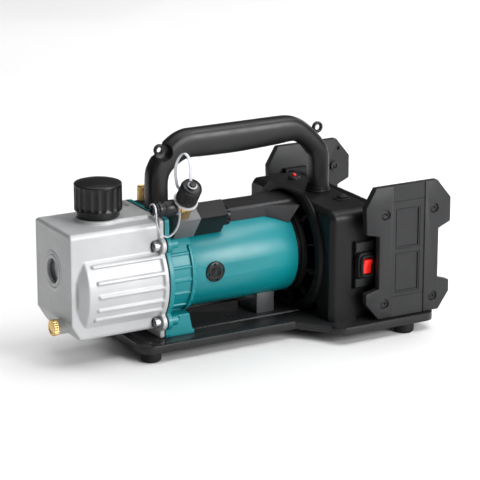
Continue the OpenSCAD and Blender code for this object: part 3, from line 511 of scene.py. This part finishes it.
def steps(r, low, high, count):
    return [(r, low + (high - low) * i / count) for i in range(count + 1)]


def filler_cap_shape():
    dome_r, top = 70.3, 175.2
    dome = [(r, top - dome_r + math.sqrt(dome_r**2 - r * r)) for r in (21, 19, 16, 12.5, 9, 5.5, 2.5, 0.6)]
    profile = [
        (16.3, 126.6), (16.9, 127.2), (16.9, 139.3), (19.8, 139.35), (20.3, 139.5), (20.6, 140),
        (20.6, 144.5), (20.9, 144.9), (22.2, 145.0), (22.9, 145.2), (23.2, 145.6), (23.3, 146.2),
        *steps(23.3, 146.6, 169.8, 12),
        (23.27, 170.4), (23.1, 170.9), (22.8, 171.3), (22.3, 171.6), *dome,
    ]
    return turned(profile, upright(FILLER_D, 0), 264, flutes(22, 1.3, 146.2, 170.6, 0.75, 1.6))


def large_cap_shape():
    profile = [
        (0.4, 52.3), (7.6, 52.3), (7.95, 51.9), (7.95, 38.1), (8.3, 37.8), (10.0, 37.8), (10.45, 38.1),
        (10.6, 38.8), *steps(10.6, 39.6, 54.6, 8), (10.55, 55.1), (10.3, 55.9), (9.8, 57.2), (9.4, 58.0),
        (9.0, 58.35), (8.5, 58.3), (8.1, 57.9), (7.8, 57.4), (3.2, 57.4), (2.6, 57.7), (2.4, 58.2),
        (2.4, 59.8), (2.6, 59.9), (3.4, 59.95), (3.6, 60.3), (3.55, 61.0), (3.1, 61.5), (2.2, 61.7),
        (0.4, 61.7),
    ]
    return turned(profile, on_port(LARGE_PORT_D), 240, flutes(30, 0.85, 39.8, 54.4, 0.7, 0.8))


def small_cap_shape():
    profile = [
        (0.4, 84), (1.9, 84), (2.2, 83.7), (2.2, 82.5), (2.6, 82.05), (4.2, 82), (4.7, 82.3), (4.8, 82.8),
        (4.8, 85.5), (5.1, 85.9), (6.1, 86), (6.5, 86.2), (6.6, 86.6), (6.6, 88.0), (6.8, 88.35),
        (7.2, 88.4), (7.65, 88.6), (7.8, 89.1), (7.8, 92.7), (7.6, 93), (7.3, 93.15), (7.3, 93.85),
        (7.6, 94), (7.8, 94.3), (7.8, 105.9), (7.65, 106.4), (7.2, 106.6), (5.9, 106.6), (5.55, 106.3),
        (5.55, 91.8), (5.3, 91.5), (0.4, 91.5),
    ]
    return turned(profile, along_port, 72)


def washer_shape(place, r_in, r_out, low, high):
    """A flat ring with rounded edges."""
    mid, half_r, half_h = (r_in + r_out) / 2, (r_out - r_in) / 2, (high - low) / 2
    section = superellipse(16, 3.5)
    rings = []
    for i in range(64):
        a = 2 * math.pi * i / 64
        reach = [(mid + half_r * c, low + half_h + half_h * s) for c, s in section]
        rings.append([place(r * math.cos(a), r * math.sin(a), h) for r, h in reach])
    return loft(rings, loop=True)


def strap_shape(route, across, width, thick):
    """A flat moulded strap along a route of [d, y, z] points; across is the direction of its width."""
    line = smooth_line(route, 7)
    section = superellipse(14, 3.2)
    rings = []
    for i, p in enumerate(line):
        tangent = (line[min(i + 1, len(line) - 1)] - line[max(i - 1, 0)]).normalized()
        side = (Vector(across) - tangent * tangent.dot(Vector(across))).normalized()
        normal = tangent.cross(side)
        rings.append([at(*(p + side * (width / 2 * c) + normal * (thick / 2 * s))) for c, s in section])
    return loft(rings)


def baked(o):
    """Applies a piece's modifiers."""
    bpy.context.view_layer.update()
    made = bpy.data.meshes.new_from_object(o.evaluated_get(bpy.context.evaluated_depsgraph_get()))
    o.modifiers.clear()
    o.data = made
    return o


def combine(o, operation, shapes):
    """Adds closed shapes to a piece or cuts them out of it."""
    helpers = [o] + [new_mesh("helper", *shape) for shape in shapes]
    for h in helpers:
        bm = bmesh.new()
        bm.from_mesh(h.data)
        bmesh.ops.recalc_face_normals(bm, faces=bm.faces)
        bm.to_mesh(h.data)
        bm.free()
    for h in helpers[1:]:
        m = o.modifiers.new("combine", "BOOLEAN")
        m.operation, m.solver, m.object = operation, "EXACT", h
    baked(o)
    for h in helpers[1:]:
        bpy.data.objects.remove(h)
    return o


def carve(o, *shapes):
    return combine(o, "DIFFERENCE", shapes)


def add_to(o, *shapes):
    return combine(o, "UNION", shapes)


def union(name, first, *others):
    """One closed mesh made from shapes that overlap."""
    return add_to(new_mesh(name, *first), *others)


def coil_shape(cut=0.45):
    """The solenoid's coil: a block with chamfered edges, in the leaning frame."""
    rings = []
    for d, inset in ((136, cut), (136 + cut, 0), (166.5 - cut, 0), (166.5, cut)):
        v, u = 10 - inset, 13.75 - inset
        corners = [
            (v, u - cut), (v - cut, u), (cut - v, u), (-v, u - cut),
            (-v, cut - u), (cut - v, -u), (v - cut, -u), (v, cut - u),
        ]
        rings.append([in_coil(a, b, d) for a, b in corners])
    return loft(rings)


def in_coil(x, y, h):
    return lean(h, 1.4 + x, 1.1 + y)


def nut_shape():
    """The coil's castellated retaining nut."""

    def slots(a, r, h):
        return 1.5 if r > 9 and h > 168.25 and math.cos(12 * a) > 0.3 else 0

    profile = [
        (5.2, 166.5), (9.7, 166.5), (10, 166.8), (10, 168.2), (10, 168.3), (10, 172.0),
        (9.7, 172.4), (9.2, 172.5), (6.9, 172.5), (6.6, 172.2), (6.5, 171.4), (5.2, 171.4),
    ]
    return turned(profile, in_coil, 240, slots)


LARGE_ROUTE = [
    (116, -43.1, 164.7), (112, -43.8, 170), (109, -46, 181), (107.5, -50, 192), (109.3, -54, 201),
    (112, -58, 205), (114.5, -61.5, 202), (115.8, -63.3, 194), (116, -63.6, 186), (116, -63.2, 178.9),
]
SMALL_ROUTE = [
    (108.6, -53.6, 149), (108, -55, 141), (105, -56, 133), (100, -56, 127), (93.5, -56, 125),
    (87.5, -56, 129), (83.6, -56, 137), (83, -55, 144), (84, -53.6, 149),
]


def knob_shape():
    profile = [
        (2.6, 131.1), (2.95, 131.5), (2.95, 138.3), (4.9, 138.35), (5.3, 138.6), (5.5, 139.2),
        *steps(5.5, 140, 152, 6), (5.4, 152.7), (5.0, 153.2), (4.3, 153.3), (3.9, 153.1), (3.6, 152.7),
        (0.4, 152.7),
    ]
    return turned(profile, upright(111, 28), 144, flutes(18, 0.45, 139.5, 152.6, 0.8, 0.6))


def drain_shape():
    profile = [
        (4.6, 12), (4.95, 11.6), (4.95, -5.25), (7.5, -5.3), (7.85, -5.5), (8, -5.9),
        *steps(8, -6.2, -9.6, 3), (7.9, -10.3), (7.4, -10.8), (6.9, -11), (5.4, -11), (5.0, -10.6),
        (4.6, -10.2), (0.4, -10.2),
    ]
    return turned(
        profile, lambda x, y, h: at(h, -16 + x, 39 + y), 192, flutes(24, 0.5, -10.6, -5.5, 0.7, 0.5)
    )


BOX_FACES = [(0, 1, 3, 2), (4, 6, 7, 5), (0, 4, 5, 1), (2, 3, 7, 6), (0, 2, 6, 4), (1, 5, 7, 3)]


def box_shape(d, y, z):
    return [at(a, b, c) for a in d for b in y for c in z], BOX_FACES


def edged(o, width, segments=2, angle=35):
    """Breaks a piece's sharp edges, in mm, and applies the result."""
    edge = o.modifiers.new("edge", "BEVEL")
    edge.width = width / 1000
    edge.segments = segments
    edge.limit_method = "ANGLE"
    edge.angle_limit = math.radians(angle)
    return baked(o)


def slab(points, y0, y1):
    """A side outline of (d, z) points, extruded across the pump."""
    return loft([[at(d, y, z) for d, z in points] for y in (y0, y1)])


def sunk(d, z, side, layers):
    """A rectangular sinking in a guard's outer face: layers are (how far it spreads, y)."""
    rings = []
    for grow, y in layers:
        low_d, high_d, low_z, high_z = d[0] - grow, d[1] + grow, z[0] - grow, z[1] + grow
        corners = ((low_d, low_z), (high_d, low_z), (high_d, high_z), (low_d, high_z))
        rings.append([at(a, side * y, b) for a, b in corners])
    return loft(rings)


def groove(d, z, side):
    return sunk(d, z, side, [(0.15, 98.9), (0, 97.9)])


GUARD_OUTLINE = [
    (302.2, 154.7), (373.9, 154.7), (390, 135), (390, 110.2), (376.3, 104.4), (376.3, 53),
    (390, 48.9), (390, 37), (377.6, 19.5), (306.9, 19.5), (292, 37), (292, 47.5),
    (307, 50.8), (307, 105), (292, 108.6), (290.6, 135.4),
]
GUARD_SCREWS = [(313.8, 126), (370.5, 126), (313.6, 34.5), (370.7, 34.5)]


def guard_piece(name, side):
    """A guard plate, with its channel, pockets, grooves, screw sinks and one boss behind."""
    body = edged(new_mesh(name, *slab(GUARD_OUTLINE, side * 91.6, side * 99.6)), 0.9)
    cuts = [sunk((322.5, 359.3), (0, 200), side, [(0.9, 101), (0.45, 99.55), (0.1, 98.65), (0, 98.5)])]
    for z in ((91, 128.6), (45.4, 82.8)):
        cuts.append(sunk((328.2, 352.6), z, side, [(0.8, 99.5), (0.25, 98.4), (0, 97.3), (0, 97.2)]))
    for z in (138.3, 40.3):
        cuts.append(groove((322.3, 359.5), (z - 0.3, z + 0.3), side))
    for low, high in ((89.6, 130), (44, 84.2)):
        cuts += [groove((326.8, 354), (z, z + 0.6), side) for z in (low - 0.6, high)]
        cuts += [groove((d, d + 0.6), (low - 0.6, high + 0.6), side) for d in (326.2, 354)]
    sink = [
        (0.3, 101), (5.5, 101), (5.4, 99.7), (4.8, 99.0), (4.6, 98.4), (4.6, 96.65), (0.3, 96.65),
    ]
    cuts += [turned(sink, crosswise(d, z, side), 40) for d, z in GUARD_SCREWS]
    carve(body, *cuts)
    boss = [(0.3, 92.5), (5, 92.5), (5, 89.2), (4.7, 88.7), (4.2, 88.6), (0.3, 88.6)]
    add_to(body, turned(boss, crosswise(*GUARD_SCREWS[1], side), 40))
    holes = [(GUARD_SCREWS[1], 2.6), ((375.7, 144.4), 2.1)]
    carve(body, *(turned([(r, 88), (r, 94)], crosswise(*spot, side), 32) for spot, r in holes))
    return finish_piece(body, "grey_guard", "pump_frame", "guard_near" if side < 0 else "guard_far")


def shell_ring(inset, d, half=82.0, low=18.0, top=131.0, corner=10.0):
    """The rear housing's outline, with square feet and round shoulders."""
    half, low, top = half - inset, low, top - inset
    radius = corner - min(inset, corner - 1)
    points = [(-half, low), (-half, low + 2), (-half, top - radius - 2)]
    points += [(-half + radius - radius * math.cos(a), top - radius + radius * math.sin(a))
               for a in (math.pi / 2 * i / 8 for i in range(9))]
    points += [(-half + radius + 2, top)]
    points += [(-y, z) for y, z in reversed(points)]
    return [at(d, y, z) for y, z in points]


def rear_shell():
    """The rear housing and, as a piece of its own, the bracket behind the switch."""
    stations = [
        (9, 262), (5.2, 262), (4.7, 262.12), (4.1, 262.5), (1.1, 265.5),
        (0.35, 266.5), (0, 268), (0, 271), (0, 317),
    ]
    body = new_mesh("rear_shell", *loft([shell_ring(*station) for station in stations]))
    fan_opening = [(57.2, 261), (57, 262.5), (50, 279)]
    hood = [(60.4, 262), (60.35, 262.6), (57, 269.8), (54.6, 274.8), (53.6, 277.4), (53, 281)]
    waist = [(-83, 17), (-78.8, 17), (-78.4, 17.5), (-78.4, 121.4), (-79, 122), (-83, 122)]
    inner_room = box_shape((265, 318), (-75.4, 75.4), (21, 128))
    cuts = [
        turned(fan_opening, round_motor, 128),
        box_shape((285, 291.5), (-83, -76.4), (50, 99.5)),
    ]
    for side in (1, -1):
        cuts.append(loft([[at(d, side * y, z) for y, z in waist] for d in (291, 318)]))
    for d in (312.4, 314.8):
        cuts.append(box_shape((d, d + 1.2), (-68, 68), (130, 132)))
    add_to(body, turned(hood, round_motor, 160))
    carve(body, *cuts, inner_room)
    button_base = [
        (0.3, 128.5), (8.8, 128.5), (8.75, 131.2), (8.3, 131.9),
        (7.6, 132.2), (5.3, 132.2), (5.3, 129.4), (0.3, 129.4),
    ]
    lamp_base = [
        (0.3, 128.5), (7.2, 128.5), (7, 131.1), (6.2, 132.4), (5.2, 133.6),
        (4.6, 134), (2.3, 134), (2.25, 129.4), (0.3, 129.4),
    ]
    add_to(body, turned(button_base, upright(299, -40), 64), turned(lamp_base, upright(297, 50), 64))
    finish_piece(body, "black_shell", "pump_frame", "rear_housing")
    bars = [edged_box((290.7, 311.3), (-82, -75.8), z) for z in ((86.6, 96.5), (50.5, 59.4))]
    bracket = merge_shapes(*bars)
    finish_piece(new_mesh("switch_bracket", *bracket), "grey_guard", "pump_frame", "rear_housing")


def handle_feet():
    """The handle's front foot, cut to the motor, and its rear collar."""
    wide = box_shape((104.3, 112.8), (-20, 20), (115, 138))
    narrow = box_shape((112.6, 124), (-13, 13), (115, 138))
    front = union("handle_foot", wide, narrow)
    barrel = turned([(46.1, 100), (46.1, 128)], round_motor, 160)
    finish_piece(edged(carve(front, barrel), 0.6), "grey_duct", "pump_frame", "handle_brackets")
    profile = [
        (0.3, 131), (12.4, 131), (12.4, 132.4), (12.1, 132.7),
        (11.9, 133.0), (11.9, 135.5), (11.5, 136), (0.3, 136),
    ]
    collar = new_mesh("handle_collar", *turned(profile, upright(295.2, 0), 96))
    finish_piece(collar, "black_shell", "pump_frame", "handle_brackets")


def edged_box(d, y, z, cut=0.5):
    """A block whose outer (low y) face has chamfered edges and a shallow seam down its middle."""
    mid = (d[0] + d[1]) / 2
    rows = []
    for level, grow in ((z[0], cut), (z[0] + cut, 0), (z[1] - cut, 0), (z[1], cut)):
        front = y[0] + grow
        rows.append([
            at(d[0], y[1], level), at(d[0], front + cut, level), at(d[0] + cut, front, level),
            at(mid - 0.5, front, level), at(mid, front + 0.5, level), at(mid + 0.5, front, level),
            at(d[1] - cut, front, level), at(d[1], front + cut, level), at(d[1], y[1], level),
        ])
    return loft(rows)


def strap_scoops(d, z):
    """Bowls on both sides of the handle, that leave a thin web with the strap ring on it."""
    bowl = [
        (0.3, 2.2), (6.4, 2.2), (7.4, 2.6), (8.2, 3.6), (8.8, 5.2),
        (9.4, 8), (10.4, 11.5), (10.4, 14), (0.3, 14),
    ]
    hole = [(2.8, -4), (2.8, 4)]
    out = [turned(bowl, crosswise(d, z, side), 48) for side in (-1, 1)]
    return [*out, turned(hole, crosswise(d, z, 1), 48)]


def vent_shape(side):
    profile = [
        (0.4, 42), (9.8, 42), (10.2, 42.2), (10.3, 42.6), (10.3, 44.1), (10.2, 44.5), (9.8, 44.85),
        (8.9, 45.2), (7.4, 45.5), (6.2, 45.58), (5.7, 45.55), (5.45, 45.3), (5.35, 44.7), (4.5, 44.7),
        (4.4, 45.3), (4.2, 45.45), (3.5, 45.45), (3.3, 45.3), (3.2, 44.7), (2.4, 44.7), (2.3, 45.3),
        (2.1, 45.45), (0.4, 45.45),
    ]
    return turned(profile, crosswise(VENT_D, AXIS_Z, side), 72)


def vent_windows(side):
    out = []
    for degrees in (80, 170, 260, 350):
        a = math.radians(degrees)
        c, s = math.cos(a), math.sin(a)
        spots = [(r, t, h) for r in (6.8, 9.1) for t in (-1.2, 1.2) for h in (41.5, 47)]
        corners = [at(VENT_D + r * c + t * s, side * h, AXIS_Z - r * s + t * c) for r, t, h in spots]
        out.append((corners, BOX_FACES))
    return out


def boot_shape():
    """The rubber switch boot: half width, half height and y along a section through its wall."""
    wall = [
        (5.4, 8.8, -79.2), (5.4, 8.8, -88.1), (5.6, 9.0, -88.5), (6.2, 9.7, -88.6),
        (7.1, 10.5, -88.5), (7.7, 11.0, -88.0), (7.9, 11.1, -87.2), (7.9, 11.1, -85.9),
        (8.2, 11.4, -85.6), (9.2, 12.4, -85.5), (9.8, 13.0, -85.1), (9.9, 13.1, -84.4),
        (9.9, 13.1, -82.9), (10.3, 13.5, -82.5), (10.3, 13.5, -79.3),
    ]
    section = superellipse(64, 4.2)
    rings = [[at(SWITCH_D + w * c, y, SWITCH_Z + h * s) for c, s in section] for w, h, y in wall]
    return loft(rings, loop=True)


guard_piece("guard_plate_near", -1)
guard_piece("guard_plate_far", 1)
rear_shell()
handle_feet()
handle_body = carve(new_mesh("handle_body", *handle_shape()), *strap_scoops(*FRONT_EYELET))
add_to(handle_body, eyelet(*FRONT_EYELET), eyelet(*REAR_EYELET))
finish_piece(handle_body, "black_grip", "pump_frame", "handle")
finish_piece(new_mesh("fluted_cap", *filler_cap_shape()), "black_cap", "filler_cap", "filler_cap")
finish_piece(new_mesh("knurled_cap", *large_cap_shape()), "black_cap", "large_port_cap", "large_port_cap")
finish_piece(new_mesh("dimpled_cap", *small_cap_shape()), "black_cap", "small_port_cap", "small_port_cap")
large_port = on_port(LARGE_PORT_D)
large_strap = union(
    "large_strap",
    strap_shape(LARGE_ROUTE, (1, 0, 0), 3.0, 1.2),
    washer_shape(large_port, 8.2, 12, 35.6, 37.2),
    washer_shape(large_port, 2.8, 4.8, 58.9, 59.6),
)
finish_piece(large_strap, "clear_strap", "pump_frame", "large_cap_tether")
small_strap = union(
    "small_strap",
    strap_shape(SMALL_ROUTE, (0, 1, 0), 2.8, 1.2),
    washer_shape(along_port, 5.8, 7.6, 107.6, 109.4),
    washer_shape(along_port, 5.1, 6.6, 83.2, 85),
)
finish_piece(small_strap, "clear_strap", "pump_frame", "small_cap_tether")
finish_piece(new_mesh("ballast_valve", *knob_shape()), "brass", "gas_ballast_knob", "gas_ballast_knob")
finish_piece(new_mesh("drain_cap", *drain_shape()), "brass", "drain_plug", "drain_plug")
coil_case = carve(new_mesh("coil_case", *coil_shape()), turned([(5.1, 135), (5.1, 168)], in_coil, 48))
finish_piece(coil_case, "black_smooth", "pump_frame", "solenoid_coil")
finish_piece(new_mesh("coil_nut", *nut_shape()), "black_smooth", "pump_frame", "solenoid_nut")
finish_piece(new_mesh("rubber_boot", *boot_shape()), "rubber", "pump_frame", "switch_boot")
for side, name in ((-1, "vent_near"), (1, "vent_far")):
    vent = carve(new_mesh(name, *vent_shape(side)), *vent_windows(side))
    finish_piece(vent, "vent_black", "pump_frame", "vent_caps")

# ---- stage ----



floor = new_mesh("floor", [(-9, -9, 0), (9, -9, 0), (9, 9, 0), (-9, 9, 0)], [(0, 1, 2, 3)])
paper = Nodes("paper")
paper.feed("Base Color", paper.tint(paper.noise(3, 2), (0.62, 0.62, 0.62), (0.65, 0.65, 0.65)))
paper.feed("Roughness", 0.8)
floor.data.materials.append(paper.material)

world = bpy.data.worlds.new("studio")
bpy.context.scene.world = world
world.use_nodes = True
world.node_tree.nodes["Background"].inputs["Color"].default_value = (1, 1, 1, 1)
world.node_tree.nodes["Background"].inputs["Strength"].default_value = 0.08


def softbox(name, place, size, power, target=(0, 0, 0.1)):
    light = bpy.data.lights.new(name, "AREA")
    light.shape = "RECTANGLE"
    light.size, light.size_y = size
    light.energy = power
    o = bpy.data.objects.new(name, light)
    bpy.context.scene.collection.objects.link(o)
    o.location = place
    o.rotation_euler = (Vector(target) - Vector(place)).to_track_quat("-Z", "Y").to_euler()
    return o


softbox("key", (0.8, -1.8, 0.8), (1.2, 0.9), 47)
softbox("strip", (0.75, -0.6, 1.6), (1.6, 0.35), 12)
softbox("top", (0.1, 0.0, 2.0), (2.2, 1.8), 26)
softbox("back", (2.0, 0.9, 0.9), (1.0, 1.0), 9)
backdrop = softbox("backdrop", (0.6, 2.5, 2.2), (7, 3.2), 105, (0.6, 2.5, 0))
backdrop.light_linking.receiver_collection = bpy.data.collections.new("floor_only")
backdrop.light_linking.receiver_collection.objects.link(floor)

camera = bpy.data.objects.new("camera", bpy.data.cameras.new("camera"))
camera.data.sensor_width = 36
camera.data.lens = 170.53
camera.location = (-1.05026, -1.89896, 0.74061)
camera.rotation_euler = (math.radians(90 - 16.608), 0, math.radians(-29.304))
bpy.context.scene.collection.objects.link(camera)
bpy.context.scene.camera = camera
bpy.context.scene.view_settings.view_transform = "Standard"
